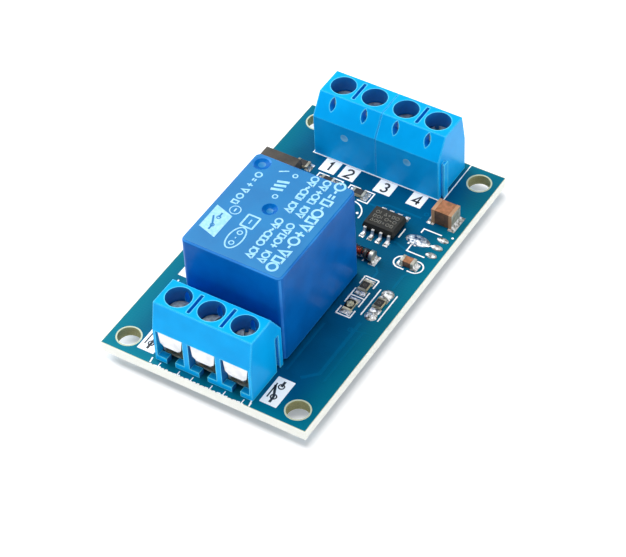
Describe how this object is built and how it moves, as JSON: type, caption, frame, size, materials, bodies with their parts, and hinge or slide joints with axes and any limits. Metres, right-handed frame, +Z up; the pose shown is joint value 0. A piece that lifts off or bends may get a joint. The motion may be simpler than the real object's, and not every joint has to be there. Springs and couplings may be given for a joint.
{
  "type": "relay module board",
  "caption": "Small blue circuit board with a boxed relay, screw terminals at both ends for the switched wires and the supply, and surface parts that drive the coil.",
  "frame": {"origin": "centre of the four mounting holes, on the underside of the board", "axes": "+X along the board's short side towards the side with the glass diode and the lamp, +Y along its long side towards the supply terminals, +Z up from the board to the relay"},
  "size_m": [0.032, 0.054, 0.0185],
  "materials": {
    "board_laminate": "glass-cloth laminate under glossy solder mask with white print",
    "solder": "reflowed tin solder, bright and uneven",
    "relay_case": "moulded case, lightly textured",
    "relay_base": "moulded base, glass-filled",
    "coil_bobbin": "moulded spool, natural colour",
    "copper_winding": "enamelled copper wire",
    "magnet_iron": "zinc-plated soft iron",
    "spring_bronze": "rolled phosphor bronze strip",
    "contact_silver": "silver alloy rivet",
    "terminal_copper": "tinned copper alloy strip",
    "terminal_housing": "moulded polyamide, semi-gloss",
    "plated_frame": "nickel-plated brass strip",
    "guard_steel": "bright plated spring steel",
    "screw_steel": "zinc-plated steel",
    "chip_mould": "moulded epoxy, fine matt grain",
    "tinned_leads": "tinned copper leads",
    "capacitor_tan": "fired ceramic, satin",
    "resistor_ceramic": "dark glaze over white ceramic",
    "end_caps": "tin-plated end caps",
    "diode_glass": "small glass body over a dark junction",
    "lamp_lens": "clear cast epoxy",
    "lamp_base": "white laminate base"
  },
  "bodies": {
    "board": {"circuit_board": "board_laminate", "underside_solder": "solder", "surface_solder": "solder", "relay_cover": "relay_case", "relay_base": "relay_base", "coil_bobbin": "coil_bobbin", "coil_winding": "copper_winding", "iron_core": "magnet_iron", "magnet_yoke": "magnet_iron", "normally_closed_contact": "contact_silver", "normally_open_contact": "contact_silver", "common_terminal": "terminal_copper", "normally_closed_terminal": "terminal_copper", "normally_open_terminal": "terminal_copper", "coil_pins": "terminal_copper", "front_terminal_housing": "terminal_housing", "rear_terminal_housing_left": "terminal_housing", "rear_terminal_housing_right": "terminal_housing", "control_chip_body": "chip_mould", "control_chip_leads": "tinned_leads", "supply_capacitor_body": "capacitor_tan", "supply_capacitor_ends": "end_caps", "small_capacitor_body": "capacitor_tan", "small_capacitor_ends": "end_caps", "signal_diode_glass": "diode_glass", "signal_diode_caps": "end_caps", "rectifier_body": "chip_mould", "rectifier_leads": "tinned_leads", "chip_resistor_bodies": "resistor_ceramic", "chip_resistor_ends": "end_caps", "indicator_lens": "lamp_lens", "indicator_base": "lamp_base", "driver_transistor_body": "chip_mould", "driver_transistor_leads": "tinned_leads", "contact_frame_front_1": "plated_frame", "contact_frame_front_2": "plated_frame", "contact_frame_front_3": "plated_frame", "contact_frame_rear_1": "plated_frame", "contact_frame_rear_2": "plated_frame", "contact_frame_rear_3": "plated_frame", "contact_frame_rear_4": "plated_frame"},
    "armature": {"armature": "magnet_iron", "contact_spring": "spring_bronze", "moving_contact": "contact_silver"},
    "wire_guard_front_1": {"wire_guard_front_1": "guard_steel"},
    "clamp_screw_front_1": {"clamp_screw_front_1": "screw_steel"},
    "wire_guard_front_2": {"wire_guard_front_2": "guard_steel"},
    "clamp_screw_front_2": {"clamp_screw_front_2": "screw_steel"},
    "wire_guard_front_3": {"wire_guard_front_3": "guard_steel"},
    "clamp_screw_front_3": {"clamp_screw_front_3": "screw_steel"},
    "wire_guard_rear_1": {"wire_guard_rear_1": "guard_steel"},
    "clamp_screw_rear_1": {"clamp_screw_rear_1": "screw_steel"},
    "wire_guard_rear_2": {"wire_guard_rear_2": "guard_steel"},
    "clamp_screw_rear_2": {"clamp_screw_rear_2": "screw_steel"},
    "wire_guard_rear_3": {"wire_guard_rear_3": "guard_steel"},
    "clamp_screw_rear_3": {"clamp_screw_rear_3": "screw_steel"},
    "wire_guard_rear_4": {"wire_guard_rear_4": "guard_steel"},
    "clamp_screw_rear_4": {"clamp_screw_rear_4": "screw_steel"}
  },
  "joints": [
    {"name": "armature_pull", "type": "hinge", "parent": "board", "child": "armature", "pos_m": [-0.00025, -0.00155, 0.012], "axis": [1, 0, 0], "range_deg": [0, 2.5], "stiffness_Nm_per_rad": 0.02, "springref_deg": -8.59},
    {"name": "guard_slide_front_1", "type": "slide", "parent": "board", "child": "wire_guard_front_1", "axis": [0, 0, 1], "range_m": [-0.0015, 0]},
    {"name": "screw_turn_front_1", "type": "hinge", "parent": "wire_guard_front_1", "child": "clamp_screw_front_1", "pos_m": [-0.00533, -0.02275, 0.008], "axis": [0, 0, 1], "range_deg": [-1081, 0]},
    {"name": "guard_slide_front_2", "type": "slide", "parent": "board", "child": "wire_guard_front_2", "axis": [0, 0, 1], "range_m": [-0.0015, 0]},
    {"name": "screw_turn_front_2", "type": "hinge", "parent": "wire_guard_front_2", "child": "clamp_screw_front_2", "pos_m": [-0.00025, -0.02275, 0.008], "axis": [0, 0, 1], "range_deg": [-1081, 0]},
    {"name": "guard_slide_front_3", "type": "slide", "parent": "board", "child": "wire_guard_front_3", "axis": [0, 0, 1], "range_m": [-0.0015, 0]},
    {"name": "screw_turn_front_3", "type": "hinge", "parent": "wire_guard_front_3", "child": "clamp_screw_front_3", "pos_m": [0.00483, -0.02275, 0.008], "axis": [0, 0, 1], "range_deg": [-1081, 0]},
    {"name": "guard_slide_rear_1", "type": "slide", "parent": "board", "child": "wire_guard_rear_1", "axis": [0, 0, 1], "range_m": [-0.0015, 0]},
    {"name": "screw_turn_rear_1", "type": "hinge", "parent": "wire_guard_rear_1", "child": "clamp_screw_rear_1", "pos_m": [-0.00787, 0.023, 0.008], "axis": [0, 0, 1], "range_deg": [-1081, 0]},
    {"name": "guard_slide_rear_2", "type": "slide", "parent": "board", "child": "wire_guard_rear_2", "axis": [0, 0, 1], "range_m": [-0.0015, 0]},
    {"name": "screw_turn_rear_2", "type": "hinge", "parent": "wire_guard_rear_2", "child": "clamp_screw_rear_2", "pos_m": [-0.00279, 0.023, 0.008], "axis": [0, 0, 1], "range_deg": [-1081, 0]},
    {"name": "guard_slide_rear_3", "type": "slide", "parent": "board", "child": "wire_guard_rear_3", "axis": [0, 0, 1], "range_m": [-0.0015, 0]},
    {"name": "screw_turn_rear_3", "type": "hinge", "parent": "wire_guard_rear_3", "child": "clamp_screw_rear_3", "pos_m": [0.00229, 0.023, 0.008], "axis": [0, 0, 1], "range_deg": [-1081, 0]},
    {"name": "guard_slide_rear_4", "type": "slide", "parent": "board", "child": "wire_guard_rear_4", "axis": [0, 0, 1], "range_m": [-0.0015, 0]},
    {"name": "screw_turn_rear_4", "type": "hinge", "parent": "wire_guard_rear_4", "child": "clamp_screw_rear_4", "pos_m": [0.00737, 0.023, 0.008], "axis": [0, 0, 1], "range_deg": [-1081, 0]}
  ],
  "couplings": [
    {"joint": "screw_turn_front_1", "follows": "guard_slide_front_1", "rad_per_m": 12566},
    {"joint": "screw_turn_front_2", "follows": "guard_slide_front_2", "rad_per_m": 12566},
    {"joint": "screw_turn_front_3", "follows": "guard_slide_front_3", "rad_per_m": 12566},
    {"joint": "screw_turn_rear_1", "follows": "guard_slide_rear_1", "rad_per_m": 12566},
    {"joint": "screw_turn_rear_2", "follows": "guard_slide_rear_2", "rad_per_m": 12566},
    {"joint": "screw_turn_rear_3", "follows": "guard_slide_rear_3", "rad_per_m": 12566},
    {"joint": "screw_turn_rear_4", "follows": "guard_slide_rear_4", "rad_per_m": 12566}
  ]
}
